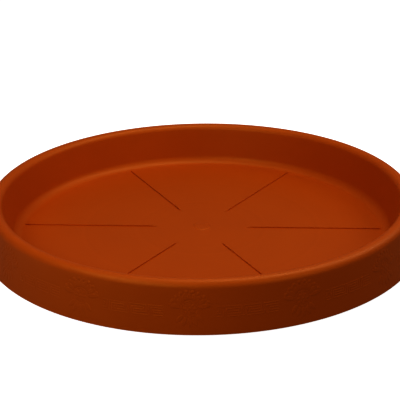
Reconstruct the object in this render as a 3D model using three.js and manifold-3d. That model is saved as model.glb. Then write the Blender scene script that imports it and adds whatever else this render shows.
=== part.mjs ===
// Plant saucer, 400 mm across, moulded in one piece from terracotta-coloured polypropylene.
// A flat floor with six raised ribs runs through a fillet into a leaning inner wall, over a
// rolled rim and down a flared outer skirt. The wall is one thickness throughout, so the
// space between the inner wall and the skirt is open underneath, where the mould core was.
// Millimetres, +Z up. The origin is on the ground, below the middle of the floor.

import * as THREE from 'three';
import { mergeVertices } from 'three/addons/utils/BufferGeometryUtils.js';
import Module from 'manifold-3d';

// Driving dimensions of the section
const footDiameter = 400;
const overallHeight = 42;
const rimDiameter = 386.4;
const rimRadius = 6.6;
const wallThickness = 2.2;
const floorThickness = 2.2;
const floorDiameter = 330;
const floorFillet = 9.3;
const skirtLift = 1.4;
const footEdgeRound = 0.7;

// Driving dimensions of the ribs that lift the pot off the water
const ribCount = 6;
const ribInnerDiameter = 85.6;
const ribOuterDiameter = 333.2;
const ribWidth = 2.0;
const ribHeight = 1.0;
const ribEndRamp = 3;
const ribChamfer = 0.3;

// Driving dimensions of the gate mark at the centre of the floor, a low disc with a sloping edge
const gateDiameter = 16;
const gateTopDiameter = 8;
const gateHeight = 0.6;

// Smoothness of the revolve: steps round the axis, and how far a chord may cut inside its arc
const stepsRound = 84;
const arcTolerance = 0.08;

// How far a raised feature is rooted in the wall that carries it
const rootDepth = 0.8;

const wasm = await Module();
wasm.setup();

// A closed solid from a three.js geometry: shared corners merged, slivers at the axis dropped
function solidFrom(geometry) {
  const bare = geometry.clone();
  bare.deleteAttribute('normal');
  bare.deleteAttribute('uv');
  const merged = mergeVertices(bare);
  const corners = merged.index.array;
  const triangles = [];
  for (let i = 0; i < corners.length; i += 3) {
    const [a, b, c] = corners.slice(i, i + 3);
    if (a !== b && b !== c && c !== a) {
      triangles.push(a, b, c);
    }
  }
  return new wasm.Manifold(new wasm.Mesh({
    numProp: 3,
    vertProperties: Float32Array.from(merged.attributes.position.array),
    triVerts: Uint32Array.from(triangles),
  }));
}

// The geometry of a finished solid, ready for a mesh
function geometryFrom(solid) {
  const surface = solid.getMesh();
  const geometry = new THREE.BufferGeometry();
  geometry.setAttribute('position', new THREE.BufferAttribute(surface.vertProperties, 3));
  geometry.setIndex(new THREE.BufferAttribute(surface.triVerts, 1));
  geometry.computeVertexNormals();
  return geometry;
}

// Points on an arc about a centre, from one direction to another, both in radians
function arc(centre, radius, from, to) {
  const widestStep = 2 * Math.acos(Math.max(0, 1 - arcTolerance / radius));
  const steps = Math.max(1, Math.ceil(Math.abs(to - from) / widestStep));
  const points = [];
  for (let i = 0; i <= steps; i += 1) {
    const angle = from + (to - from) * i / steps;
    points.push(new THREE.Vector2(
      centre.x + radius * Math.cos(angle),
      centre.y + radius * Math.sin(angle),
    ));
  }
  return points;
}

// Centres that the section turns about: x is the distance from the axis, y is the height
const rimCentre = new THREE.Vector2(rimDiameter / 2 - rimRadius, overallHeight - rimRadius);
const filletCentre = new THREE.Vector2(floorDiameter / 2, floorThickness + floorFillet);
const footCentre = new THREE.Vector2(footDiameter / 2 - footEdgeRound, skirtLift + footEdgeRound);

// Lean of the inner wall from the vertical: the straight wall touches the fillet on its outer
// side and the rim on its inner side
const filletToRim = rimCentre.clone().sub(filletCentre);
const innerLean = Math.atan2(filletToRim.x, filletToRim.y)
  - Math.asin((floorFillet + rimRadius) / filletToRim.length());

// Lean of the skirt from the vertical: its face touches the rim and the rounded foot edge
const rimToFoot = footCentre.clone().sub(rimCentre);
const skirtLean = Math.acos((rimRadius - footEdgeRound) / rimToFoot.length())
  - Math.atan2(-rimToFoot.y, rimToFoot.x);

// Section of the moulding, drawn once round: up the outside, back over the inside
function sectionOutline() {
  const outerFillet = floorFillet + wallThickness;
  const innerRim = rimRadius - wallThickness;
  const rimInside = Math.PI - innerLean;
  const skirtDrop = rimCentre.y + innerRim * Math.sin(skirtLean) - skirtLift;
  const footInnerRadius = rimCentre.x + innerRim * Math.cos(skirtLean) + skirtDrop * Math.tan(skirtLean);
  return [
    new THREE.Vector2(0, 0),
    ...arc(filletCentre, outerFillet, -Math.PI / 2, -innerLean),
    ...arc(rimCentre, innerRim, rimInside, skirtLean),
    new THREE.Vector2(footInnerRadius, skirtLift),
    ...arc(footCentre, footEdgeRound, -Math.PI / 2, 0),
    ...arc(footCentre, footEdgeRound, 0, skirtLean),
    ...arc(rimCentre, rimRadius, skirtLean, Math.PI / 2),
    ...arc(rimCentre, rimRadius, Math.PI / 2, rimInside),
    ...arc(filletCentre, floorFillet, -innerLean, -Math.PI / 2),
    new THREE.Vector2(gateDiameter / 2, floorThickness),
    new THREE.Vector2(gateTopDiameter / 2, floorThickness + gateHeight),
    new THREE.Vector2(0, floorThickness + gateHeight),
  ];
}

// The bare dish: the section turned about +Z
function dish() {
  const turned = new THREE.LatheGeometry(sectionOutline(), stepsRound);
  turned.rotateX(Math.PI / 2);
  return solidFrom(turned);
}

// One rib, along +X: a low bar with ramped ends and chamfered edges, rooted in the floor
function floorRib() {
  const from = ribInnerDiameter / 2 + ribChamfer;
  const to = ribOuterDiameter / 2 - ribChamfer;
  const top = ribHeight - ribChamfer;
  const side = new THREE.Shape();
  side.moveTo(from, -rootDepth);
  side.lineTo(to, -rootDepth);
  side.lineTo(to, 0);
  side.quadraticCurveTo(to, top, to - ribEndRamp, top);
  side.lineTo(from + ribEndRamp, top);
  side.quadraticCurveTo(from, top, from, 0);
  side.closePath();
  const bar = new THREE.ExtrudeGeometry(side, {
    depth: ribWidth - 2 * ribChamfer,
    curveSegments: 5,
    bevelEnabled: true,
    bevelThickness: ribChamfer,
    bevelSize: ribChamfer,
    bevelSegments: 1,
  });
  bar.translate(0, 0, ribChamfer - ribWidth / 2);
  bar.rotateX(Math.PI / 2);
  bar.translate(0, 0, floorThickness);
  return solidFrom(bar);
}

// The six ribs, evenly round the floor
function ribRing() {
  const rib = floorRib();
  const turns = Array.from({ length: ribCount }, (_, k) => 360 * k / ribCount);
  return turns.map((turn) => rib.rotate([0, 0, turn]));
}

let moulding = dish();
for (const rib of ribRing()) {
  moulding = moulding.add(rib);
}

// Polypropylene, coloured through, with a fine matt texture from the mould
const terracottaPlastic = new THREE.MeshStandardMaterial({
  color: 0xb4460c,
  roughness: 0.5,
  metalness: 0,
});

const saucer = new THREE.Mesh(geometryFrom(moulding), terracottaPlastic);
saucer.name = 'saucer';

const plantSaucer = new THREE.Group();
plantSaucer.add(saucer);

export default plantSaucer;
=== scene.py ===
"""Plant saucer, 400 mm across: one moulding of terracotta-coloured polypropylene.

A flat floor with six ribs, a leaning wall with a rolled rim, and a flared skirt that carries
a frieze of Greek key panels and leaf medallions. Metres, +Z up, origin on the ground.
"""
import math

import bpy
import numpy as np
from mathutils import Matrix, Vector


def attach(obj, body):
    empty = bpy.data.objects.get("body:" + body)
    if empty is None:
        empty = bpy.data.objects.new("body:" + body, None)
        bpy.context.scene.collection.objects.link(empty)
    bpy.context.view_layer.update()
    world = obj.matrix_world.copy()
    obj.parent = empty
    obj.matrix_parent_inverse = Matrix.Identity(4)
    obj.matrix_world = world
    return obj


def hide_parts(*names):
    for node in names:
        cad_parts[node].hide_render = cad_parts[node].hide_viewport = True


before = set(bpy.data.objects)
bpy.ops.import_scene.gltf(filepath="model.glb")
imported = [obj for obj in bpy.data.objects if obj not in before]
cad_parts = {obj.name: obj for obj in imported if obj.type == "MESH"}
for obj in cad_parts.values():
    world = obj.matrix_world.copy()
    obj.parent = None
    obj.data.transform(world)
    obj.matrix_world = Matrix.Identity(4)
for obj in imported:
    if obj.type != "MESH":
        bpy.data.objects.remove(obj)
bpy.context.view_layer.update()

mm = 0.001

# Camera
# A short telephoto on a tripod, nearly a metre away and well above the rim, looking down into
# the dish. The lens and the small turns are those that lay the round of the rim, the foot and
# the ends of the ribs on the photograph.
lens_in_pixels = 1007.59
frame_width_in_pixels = 400
sensor_width = 36.0
camera_distance = 940.65 * mm
camera_elevation = math.radians(23.932)
camera_azimuth = math.radians(3.344)
pan_right = math.radians(-0.0823)
tilt_up = math.radians(1.5554)
roll = math.radians(-0.6637)
aim = Vector((0, 0, 1.4 * mm))

round_the_dish = Matrix.Rotation(camera_azimuth, 4, "Z")
offset = Vector((0, -math.cos(camera_elevation), math.sin(camera_elevation))) * camera_distance
camera_data = bpy.data.cameras.new("camera")
camera_data.sensor_width = sensor_width
camera_data.lens = sensor_width * lens_in_pixels / frame_width_in_pixels
camera = bpy.data.objects.new("camera", camera_data)
camera.matrix_world = (
    Matrix.Translation(aim + round_the_dish @ offset)
    @ round_the_dish
    @ Matrix.Rotation(math.pi / 2 - camera_elevation, 4, "X")
    @ Matrix.Rotation(-pan_right, 4, "Y")
    @ Matrix.Rotation(tilt_up, 4, "X")
    @ Matrix.Rotation(roll, 4, "Z")
)
bpy.context.collection.objects.link(camera)
bpy.context.scene.camera = camera


# Studio
# A sheet of white paper, lit from behind so that it stays white, softboxes overhead and a weak
# strip low on the left. The paper is left out of the bounced light, as the skirt in the
# photograph is hardly lit from below.
def linear(hex_colour):
    """Linear RGBA of an sRGB hex colour: each channel through the inverse of the sRGB curve."""
    channels = [int(hex_colour[k:k + 2], 16) / 255 for k in (1, 3, 5)]
    curve = [c / 12.92 if c <= 0.04045 else ((c + 0.055) / 1.055) ** 2.4 for c in channels]
    return (*curve, 1.0)


def add_node(tree, kind, settings=None, inputs=None):
    """A new node of a kind, with its settings, and with a value or a link for each named input."""
    node = tree.nodes.new(kind)
    for name, value in (settings or {}).items():
        setattr(node, name, value)
    for name, value in (inputs or {}).items():
        if isinstance(value, bpy.types.NodeSocket):
            tree.links.new(value, node.inputs[name])
        else:
            node.inputs[name].default_value = value
    return node


def new_material(name):
    """An empty node material and its tree."""
    material = bpy.data.materials.new(name)
    material.use_nodes = True
    material.node_tree.nodes.clear()
    return material, material.node_tree


def mesh_object(name, points, faces, smooth=True):
    """An object at the origin whose mesh has these points and faces."""
    mesh = bpy.data.meshes.new(name)
    mesh.from_pydata(points, [], faces)
    mesh.polygons.foreach_set("use_smooth", [smooth] * len(mesh.polygons))
    mesh.update()
    piece = bpy.data.objects.new(name, mesh)
    bpy.context.collection.objects.link(piece)
    return piece


paper_half_width = 6.0
paper_drop = 0.1 * mm
corners = paper_half_width * np.array([[-1, -1, 0], [1, -1, 0], [1, 1, 0], [-1, 1, 0]])
paper = mesh_object("paper", corners - [0, 0, paper_drop], [(0, 1, 2, 3)], smooth=False)
paper_material, tree = new_material("matt_white_paper")
paper_shader = add_node(tree, "ShaderNodeBsdfPrincipled", inputs={
    "Base Color": linear("#BCBCBC"),
    "Roughness": 0.9,
    "Specular IOR Level": 0.0,
    "Emission Color": (1.0, 1.0, 1.0, 1.0),
    "Emission Strength": 0.93,
})
add_node(tree, "ShaderNodeOutputMaterial", inputs={"Surface": paper_shader.outputs["BSDF"]})
paper.data.materials.append(paper_material)
paper.visible_diffuse = False
paper.visible_glossy = False


def softbox(name, place, aim, width, height, power):
    """An area light at a place, turned to an aim, and left out of the camera's own view."""
    data = bpy.data.lights.new(name, "AREA")
    data.shape = "RECTANGLE"
    data.size = width
    data.size_y = height
    data.energy = power
    light = bpy.data.objects.new(name, data)
    light.location = place
    beam = Vector(aim) - Vector(place)
    light.rotation_euler = beam.to_track_quat("-Z", "Y").to_euler()
    light.visible_camera = False
    bpy.context.collection.objects.link(light)
    return light


# Each has its place and its aim, its width and height in metres, and its power in watts
softbox("ceiling_front_left", (-0.45, -1.3, 0.85), (-0.15, -0.4, 0), 0.4, 0.4, 4.1)
softbox("ceiling_front_right", (0.9, -0.85, 0.85), (0.27, -0.25, 0), 0.4, 0.4, 2.2)
softbox("ceiling_behind_right", (0.9, 0.4, 0.85), (0.27, 0.12, 0), 0.4, 0.4, 2.3)
softbox("lamp_above", (0.2, 0.1, 0.9), (0.2, 0.1, 0), 0.3, 0.3, 1.6)
softbox("lamp_above_behind", (0.0, 0.2, 0.9), (0.0, 0.1, 0), 0.3, 0.3, 1.3)
softbox("lamp_above_right", (0.45, 0.2, 0.9), (0.22, 0.1, 0), 0.3, 0.3, 1.3)
softbox("lamp_low_left", (-0.3, -0.3, 0.45), (-0.1, -0.1, 0), 0.25, 0.25, 0.85)
softbox("strip_left", (-0.7, -0.4, 0.02), (0, 0, 0.02), 1.0, 0.04, 0.42)

world = bpy.data.worlds.new("studio_walls")
world.use_nodes = True
world.node_tree.nodes["Background"].inputs["Color"].default_value = (1, 1, 1, 1)
world.node_tree.nodes["Background"].inputs["Strength"].default_value = 0.2
bpy.context.scene.world = world

# The photograph has more contrast than the sRGB curve alone gives, so the display curve first
# raises the light to a power. Its points lie closer together where it bends most.
contrast_power = 1.45
view = bpy.context.scene.view_settings
view.view_transform = "Standard"
view.use_curve_mapping = True
for share in (0.01, 0.04, 0.1, 0.2, 0.4, 0.7):
    view.curve_mapping.curves[3].points.new(share, share ** contrast_power)
view.curve_mapping.update()

# The moulding
# The whole saucer is one injection moulding with one wall thickness: floor, fillet, leaning
# inner wall, rolled rim and flared skirt. It is a profile turned about the axis, and it stands
# for the CAD node.
foot_reach = 200.0 * mm
rim_reach = 193.2 * mm
floor_reach = 165.0 * mm
overall_height = 42.0 * mm
rim_radius = 6.6 * mm
wall = 2.2 * mm
floor_top = 2.2 * mm
floor_fillet = 9.3 * mm
skirt_lift = 1.4 * mm
foot_round = 0.7 * mm
gate_radius = 8.5 * mm
gate_top_radius = 6.2 * mm
gate_height = 0.6 * mm

# The section turns about three centres, each a distance from the axis and a height. The inner
# wall and the skirt lean so that they run straight between the rounds.
rim_centre = np.array([rim_reach - rim_radius, overall_height - rim_radius])
fillet_centre = np.array([floor_reach, floor_top + floor_fillet])
foot_centre = np.array([foot_reach - foot_round, skirt_lift + foot_round])
wall_line = rim_centre - fillet_centre
inner_lean = math.atan2(*wall_line) - math.asin((floor_fillet + rim_radius) / np.hypot(*wall_line))
skirt_line = foot_centre - rim_centre
skirt_lean = (math.acos((rim_radius - foot_round) / np.hypot(*skirt_line))
              - math.atan2(-skirt_line[1], skirt_line[0]))


def arc(centre, radius, start, end, steps):
    """Points at centre + radius (cos a, sin a), with the angle a going evenly from start to end."""
    angle = np.linspace(start, end, steps + 1)
    return centre + radius * np.stack([np.cos(angle), np.sin(angle)], axis=1)


def straight(start, end, steps):
    """Points between two ends, spaced evenly, without the ends themselves."""
    share = np.linspace(0, 1, steps + 1)[1:-1, None]
    return np.asarray(start) * (1 - share) + np.asarray(end) * share


def moulding_profile():
    """Radius and height round the section: under the floor, up behind the wall, round the rim
    to the skirt's inner side, round the foot, up the skirt, over the rim and down to the gate,
    whose side rises as half a wave of a cosine. The last number of each arc and straight is its
    count of steps."""
    down, up = -math.pi / 2, math.pi / 2
    rim_inside = math.pi - inner_lean
    under = arc(fillet_centre, floor_fillet + wall, down, -inner_lean, 14)
    behind = arc(rim_centre, rim_radius - wall, rim_inside, skirt_lean, 18)
    drop = behind[-1, 1] - skirt_lift
    foot_inner = np.array([behind[-1, 0] + drop * math.tan(skirt_lean), skirt_lift])
    foot = arc(foot_centre, foot_round, down, skirt_lean, 10)
    rim = arc(rim_centre, rim_radius, skirt_lean, rim_inside, 32)
    fillet = arc(fillet_centre, floor_fillet, -inner_lean, down, 16)
    climb = np.linspace(0, 1, 13)
    gate_slope = gate_radius + (gate_top_radius - gate_radius) * climb
    gate_rise = gate_height * (1 - np.cos(math.pi * climb)) / 2
    gate = np.stack([gate_slope, floor_top + gate_rise], axis=1)
    return np.concatenate([
        [[0, 0]], straight([0, 0], under[0], 10),
        under, straight(under[-1], behind[0], 6),
        behind, straight(behind[-1], foot_inner, 8),
        [foot_inner],
        foot, straight(foot[-1], rim[0], 12),
        rim, straight(rim[-1], fillet[0], 8),
        fillet, straight(fillet[-1], gate[0], 24),
        gate, [[0, floor_top + gate_height]],
    ])


def turned(profile, steps):
    """Points and faces of a profile turned about Z: a point of the profile at radius r goes to
    r (cos a, sin a) for even angles a. The first and last points lie on the axis."""
    angle = np.linspace(0, 2 * math.pi, steps, endpoint=False)
    ring = profile[1:-1]
    x = ring[:, 0, None] * np.cos(angle)
    y = ring[:, 0, None] * np.sin(angle)
    z = np.repeat(ring[:, 1, None], steps, axis=1)
    points = np.stack([x, y, z], axis=2).reshape(-1, 3)
    poles = np.array([[0, 0, profile[0, 1]], [0, 0, profile[-1, 1]]])
    index = np.arange(len(ring) * steps).reshape(len(ring), steps)
    along = np.roll(index, -1, axis=1)
    quads = np.stack([index[:-1], along[:-1], along[1:], index[1:]], axis=2).reshape(-1, 4)
    first, last = len(points), len(points) + 1
    bottom = np.stack([np.full(steps, first), along[0], index[0]], axis=1)
    top = np.stack([np.full(steps, last), index[-1], along[-1]], axis=1)
    return np.concatenate([points, poles]), quads.tolist() + bottom.tolist() + top.tolist()


steps_round = 480
moulding = mesh_object("saucer_moulding", *turned(moulding_profile(), steps_round))
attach(moulding, "root")
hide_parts("saucer")

# Ribs
# Six low ribs on the floor keep the pot off the water. They are part of the moulding, 2 mm
# wide, with nearly upright faces, crisp edges and a short ramp at each end.
rib_count = 6
rib_start = 41.0 * mm
rib_end = 167.4 * mm
rib_width = 2.0 * mm
rib_height = 1.0 * mm
rib_inner_ramp = 6.0 * mm
rib_outer_ramp = 3.5 * mm
rib_root = 0.3 * mm
rib_edge_round = 0.16 * mm
rib_draft = math.tan(math.radians(4))
rib_tip_share = 0.8

# The tip of a ramp keeps a trace of height, so that its faces don't lie on one another
rib_least_height = 0.001 * mm


def rib_sections(half, tall):
    """Half of the section at each station, from its half width and its height: up the drafted
    face, a quarter round at the edge, and in over the top. A face at height h stands in from the
    foot by h times the tangent of the draft. The round shrinks with the height on the ramps."""
    half, tall = half[:, None], tall[:, None]
    edge = np.minimum(rib_edge_round, 0.45 * tall)
    turn = np.linspace(0, math.pi / 2, 6)
    shoulder = half - rib_draft * (tall - edge)
    out = np.hstack([half, half, shoulder - edge + edge * np.cos(turn), 0.5 * shoulder, 0 * half])
    up = np.hstack([0 * tall - rib_root, 0 * tall, tall - edge + edge * np.sin(turn), tall, tall])
    return out, up


def rib_points(turn):
    """A bar along a radius. Over the ramp at each end, the height rises evenly from nothing to the
    full height, and the width rises a little with it."""
    climb = np.linspace(0, 1, 13)
    level = straight([rib_start + rib_inner_ramp], [rib_end - rib_outer_ramp], 40)[:, 0]
    along = np.concatenate([
        rib_start + rib_inner_ramp * climb, level, rib_end - rib_outer_ramp * climb[::-1],
    ])
    from_inner = (along - rib_start) / rib_inner_ramp
    from_outer = (rib_end - along) / rib_outer_ramp
    rise = np.clip(np.minimum(from_inner, from_outer), 0, 1)
    half = rib_width / 2 * (rib_tip_share + (1 - rib_tip_share) * rise)
    out, up = rib_sections(half, np.maximum(rib_height * rise, rib_least_height))
    side = np.hstack([out, -out[:, -2::-1]])
    height = floor_top + np.hstack([up, up[:, -2::-1]])
    x = along[:, None] * math.cos(turn) - side * math.sin(turn)
    y = along[:, None] * math.sin(turn) + side * math.cos(turn)
    return np.stack([x, y, height], axis=2)


def tube_faces(stations, ring, first):
    """Quads of a closed ring of points carried through stations, and a flat face at each end."""
    index = first + np.arange(stations * ring).reshape(stations, ring)
    round_it = np.roll(index, -1, axis=1)
    quads = np.stack([index[:-1], index[1:], round_it[1:], round_it[:-1]], axis=2).reshape(-1, 4)
    return quads.tolist() + [index[0].tolist(), index[-1, ::-1].tolist()]


points, faces = [], []
for k in range(rib_count):
    bar = rib_points(2 * math.pi * k / rib_count)
    faces += tube_faces(bar.shape[0], bar.shape[1], sum(map(len, points)))
    points.append(bar.reshape(-1, 3))
ribs = mesh_object("pot_ribs", np.concatenate(points), faces)
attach(ribs, "root")

# Greek key frieze
# Fourteen panels of raised Greek key run round the skirt, moulded with it and a tenth of a
# millimetre proud. Each is a window on a running key: the tail of one key, two whole keys and
# most of a fourth.
ornament_count = 14
ornament_azimuth = math.radians(-89.5)
relief_sink = 0.05 * mm
relief_root = 0.6 * mm
key_unit = 1.95 * mm
key_stroke = 0.95 * mm
key_edge = 0.33 * mm
key_height = 0.15 * mm
key_middle = 17.5 * mm

# The key is drawn on a square grid of units, with five lines to its height and eight units from
# one key to the next. The window and the turns of the stroke are counted in units.
key_rows = 5
key_cell = 8
key_window = (-2.65, 21.8)
key_turns = [(0, 4), (7, 4), (7, 1), (2, 1), (2, 2), (6, 2), (6, 3), (1, 3), (1, 0), (8, 0), (8, 4)]

skirt_foot = foot_centre + foot_round * np.array([math.cos(skirt_lean), math.sin(skirt_lean)])


def on_skirt(azimuth, up, out):
    """A point of the skirt: from its lower edge go up its slope, then out along its normal, at
    an azimuth about Z."""
    radius = skirt_foot[0] - up * math.sin(skirt_lean) + out * math.cos(skirt_lean)
    height = skirt_foot[1] + up * math.cos(skirt_lean) + out * math.sin(skirt_lean)
    return np.stack([radius * np.cos(azimuth), radius * np.sin(azimuth), height], axis=-1)


def relief_patch(across, up, middle, height, azimuth, first):
    """Points and faces of a piece of relief on the skirt. Its face is a grid, raised by height
    less the sink; its rim drops to a flat back inside the wall, so that it is closed."""
    radius = skirt_foot[0] - middle * math.sin(skirt_lean)
    face = on_skirt(azimuth + across[None, :] / radius, middle + up[:, None], height - relief_sink)
    rows, columns = height.shape
    index = first + np.arange(rows * columns).reshape(rows, columns)
    quads = np.stack([index[:-1, :-1], index[:-1, 1:], index[1:, 1:], index[1:, :-1]], axis=2)
    edge = np.concatenate([index[0, :-1], index[:-1, -1], index[-1, :0:-1], index[:0:-1, 0]])
    back_across = np.concatenate([across[:-1], np.full(rows - 1, across[-1]),
                                  across[:0:-1], np.full(rows - 1, across[0])])
    back_up = np.concatenate([np.full(columns - 1, up[0]), up[:-1],
                              np.full(columns - 1, up[-1]), up[:0:-1]])
    back = on_skirt(azimuth + back_across / radius, middle + back_up, -relief_root)
    behind = first + rows * columns + np.arange(len(edge))
    walls = np.stack([edge, behind, np.roll(behind, -1), np.roll(edge, -1)], axis=1)
    faces = quads.reshape(-1, 4).tolist() + walls.tolist() + [behind[::-1].tolist()]
    return np.concatenate([face.reshape(-1, 3), back]), faces


def stroke_lines(count_from, count_to):
    """For each stroke axis of the grid, its two feet and the two edges of its flat top."""
    axes = key_unit * np.arange(count_from, count_to + 1)
    half, top = key_stroke / 2, key_stroke / 2 - key_edge
    return (axes[:, None] + [-half, -top, top, half]).ravel()


def key_relief(across, up):
    """Height of the key: full on each stroke's flat top and falling to nothing at its foot. The
    distance to a stroke is the larger of those along and across it, so corners are square."""
    height = np.zeros((len(up), len(across)))
    first_cell = math.floor(key_window[0] / key_cell)
    last_cell = math.floor(key_window[1] / key_cell)
    for cell in range(first_cell, last_cell + 1):
        for (x0, y0), (x1, y1) in zip(key_turns[:-1], key_turns[1:]):
            low_x, high_x = (cell * key_cell + v for v in sorted((x0, x1)))
            low_y, high_y = sorted((y0, y1))
            beside = np.maximum(low_x * key_unit - across, across - high_x * key_unit)
            above = np.maximum(low_y * key_unit - up, up - high_y * key_unit)
            distance = np.maximum(np.maximum(beside[None, :], above[:, None]), 0)
            rise = np.clip((key_stroke / 2 - distance) / key_edge, 0, 1)
            height = np.maximum(height, key_height * rise)
    return height


window = key_unit * np.array(key_window)
across = stroke_lines(math.ceil(key_window[0]), math.floor(key_window[1]))
across = across[(across > window[0]) & (across < window[1])]
across = np.concatenate([[window[0]], across, [window[1]]])
up = stroke_lines(0, key_rows - 1)
relief = key_relief(across, up)
relief[[0, -1], :] = 0
across = across - window.mean()
up = up - key_unit * (key_rows - 1) / 2
points, faces, count = [], [], 0
for k in range(ornament_count):
    azimuth = ornament_azimuth + 2 * math.pi * (k + 0.5) / ornament_count
    patch, patch_faces = relief_patch(across, up, key_middle, relief, azimuth, count)
    points.append(patch)
    faces += patch_faces
    count += len(patch)
frieze = mesh_object("greek_key_frieze", np.concatenate(points), faces, smooth=False)
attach(frieze, "root")

# Leaf medallions
# Between the key panels stand fourteen medallions, moulded in low relief: a rosette in a ring,
# a fan of leaves with berries between their tips above it, and leaves hanging below.
medallion_middle = 20.0 * mm

# The grid of a medallion just covers its relief, with a flat margin that lies inside the wall.
# It reaches as many columns to either side, and counts its rows from the bottom.
medallion_pitch = 0.4 * mm
medallion_side_columns = 44
medallion_rows = 76
medallion_bottom = -14.9 * mm

leaf_relief = 0.28 * mm
rosette_ring = 6.0 * mm
rosette_ring_width = 0.9 * mm
rosette_ring_level = 0.8
rosette_boss = 1.7 * mm
petal_count = 8
petal_start = 1.6 * mm
petal_length = 3.9 * mm
petal_width = 2.4 * mm
petal_level = 0.85
crown_leaves = 9
crown_spread = math.radians(80)
crown_start = 6.8 * mm
crown_length = 6.0 * mm
wing_growth = 3.8 * mm
crown_width = 4.1 * mm
berry_reach = 13.3 * mm
berry_radius = 1.6 * mm
base_leaves = 5
base_spread = math.radians(44)
base_start = 6.8 * mm
base_length = 7.8 * mm
base_width = 3.8 * mm
groove_depth = 0.35
groove_share = 0.12


def leaf(x, y, direction, start, length, width):
    """Height of a leaf that starts at a distance from the centre and points in a direction. Its
    half width swells and closes as sin(pi s^0.8)^0.6, where s is the share of its length; across
    it the height is a half ellipse with a fine groove along the middle."""
    along = x * math.sin(direction) + y * math.cos(direction)
    beside = x * math.cos(direction) - y * math.sin(direction)
    share = np.clip((along - start) / length, 0, 1)
    half = width / 2 * np.clip(np.sin(math.pi * share ** 0.8), 0, 1) ** 0.6 + 1e-9
    dome = np.sqrt(np.clip(1 - (beside / half) ** 2, 0, 1))
    groove = groove_depth * np.exp(-(beside / (groove_share * width)) ** 2)
    return np.where((share > 0) & (share < 1), dome * (1 - groove), 0)


def medallion_relief(x, y):
    """Height of the medallion: at each place the highest of boss, petals, ring, berries and leaves.
    Boss and berries are half ellipsoids, and the ring has a half ellipse for its section. Towards
    the sides, the fan's leaves grow longer by the square of their share of the spread."""
    distance = np.hypot(x, y)
    height = np.sqrt(np.clip(1 - (distance / rosette_boss) ** 2, 0, 1))
    ring = np.sqrt(np.clip(1 - ((distance - rosette_ring) / (rosette_ring_width / 2)) ** 2, 0, 1))
    height = np.maximum(height, rosette_ring_level * ring)
    for k in range(petal_count):
        direction = 2 * math.pi * k / petal_count
        petal = leaf(x, y, direction, petal_start, petal_length, petal_width)
        height = np.maximum(height, petal_level * petal)
    for share in np.linspace(-1, 1, 2 * crown_leaves - 1)[1::2]:
        reach = berry_reach + 0.5 * wing_growth * share ** 2
        beside = x - reach * math.sin(share * crown_spread)
        above = y - reach * math.cos(share * crown_spread)
        berry = np.sqrt(np.clip(1 - (beside ** 2 + above ** 2) / berry_radius ** 2, 0, 1))
        height = np.maximum(height, berry)
    for share in np.linspace(-1, 1, crown_leaves):
        length = crown_length + wing_growth * share ** 2
        front = leaf(x, y, share * crown_spread, crown_start, length, crown_width)
        height = np.maximum(height, front)
    for share in np.linspace(-1, 1, base_leaves):
        direction = math.pi + share * base_spread
        hanging = leaf(x, y, direction, base_start, base_length, base_width)
        height = np.maximum(height, hanging)
    return leaf_relief * height


across = medallion_pitch * np.arange(-medallion_side_columns, medallion_side_columns + 1)
up = medallion_bottom + medallion_pitch * np.arange(medallion_rows)
relief = medallion_relief(across[None, :], up[:, None])
relief[[0, -1], :] = 0
relief[:, [0, -1]] = 0
points, faces, count = [], [], 0
for k in range(ornament_count):
    azimuth = ornament_azimuth + 2 * math.pi * k / ornament_count
    patch, patch_faces = relief_patch(across, up, medallion_middle, relief, azimuth, count)
    points.append(patch)
    faces += patch_faces
    count += len(patch)
medallions = mesh_object("leaf_medallions", np.concatenate(points), faces)
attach(medallions, "root")

# Moulded polypropylene
# Terracotta pigment all through, released from a lightly textured mould: a satin skin with a
# grain of under a millimetre, a broad soft gloss, and hardly any variation in colour.
plastic, tree = new_material("moulded_polypropylene")
place = add_node(tree, "ShaderNodeTexCoord").outputs["Object"]
clouds = add_node(tree, "ShaderNodeTexNoise", inputs={
    "Vector": place, "Scale": 1 / (60 * mm), "Detail": 3.0, "Roughness": 0.55,
})

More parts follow.
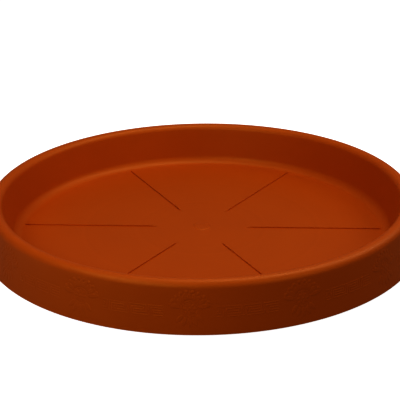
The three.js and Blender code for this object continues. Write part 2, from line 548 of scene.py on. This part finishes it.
# The melt that spread from the gate left three faint rings, darker inside and lighter outside.
# The colour ramp runs from the axis to the edge of the floor, with four marks to a ring. Each
# ring has its radius and its strength.
flow_edge = 1.8 * mm
flow_fade = 4.5 * mm
flow_level = 0.2
flow_rings = [(44.0 * mm, 0.1), (58.8 * mm, 0.2), (108.3 * mm, 0.2)]
flat = add_node(tree, "ShaderNodeVectorMath", {"operation": "MULTIPLY"}, {0: place, 1: (1, 1, 0)})
radius = add_node(tree, "ShaderNodeVectorMath", {"operation": "LENGTH"}, {0: flat.outputs["Vector"]})
share = add_node(tree, "ShaderNodeMath", {"operation": "DIVIDE"}, {
    0: radius.outputs["Value"], 1: floor_reach,
})
flow = add_node(tree, "ShaderNodeValToRGB", inputs={"Fac": share.outputs["Value"]})
for end in flow.color_ramp.elements:
    end.color = (flow_level, flow_level, flow_level, 1)
for ring, strength in flow_rings:
    for step, lift in ((-flow_fade, 0), (-flow_edge, -1), (flow_edge, 1), (flow_fade, 0)):
        mark = flow.color_ramp.elements.new((ring + step) / floor_reach)
        grey = flow_level + strength * lift
        mark.color = (grey, grey, grey, 1)
tone = add_node(tree, "ShaderNodeMath", {"operation": "ADD"}, {
    0: clouds.outputs["Fac"], 1: flow.outputs["Color"],
})

# A mix of colours takes them on its inputs 6 and 7, and gives the result on its output 2
colour = add_node(tree, "ShaderNodeMix", {"data_type": "RGBA"}, {
    "Factor": tone.outputs["Value"],
})
colour.inputs[6].default_value = linear("#B25008")
colour.inputs[7].default_value = linear("#B8540B")
grain = add_node(tree, "ShaderNodeTexNoise", inputs={
    "Vector": place, "Scale": 1 / (0.9 * mm), "Detail": 2.0,
})
bump = add_node(tree, "ShaderNodeBump", inputs={
    "Strength": 0.25, "Distance": 0.03 * mm, "Height": grain.outputs["Fac"],
})
gloss = add_node(tree, "ShaderNodeMapRange", inputs={
    "Value": clouds.outputs["Fac"], "From Min": 0.3, "From Max": 0.7, "To Min": 0.46, "To Max": 0.5,
})

# The highlights in the photograph are as warm as the plastic, so the gloss is tinted
shader = add_node(tree, "ShaderNodeBsdfPrincipled", inputs={
    "Base Color": colour.outputs[2],
    "Roughness": gloss.outputs["Result"],
    "IOR": 1.49,
    "Specular IOR Level": 0.65,
    "Specular Tint": (1.0, 0.67, 0.2, 1.0),
    "Normal": bump.outputs["Normal"],
})
add_node(tree, "ShaderNodeOutputMaterial", inputs={"Surface": shader.outputs["BSDF"]})
for piece in (moulding, ribs, frieze, medallions):
    piece.data.materials.append(plastic)

# Last update
# The view layer is brought up to date.
bpy.context.view_layer.update()
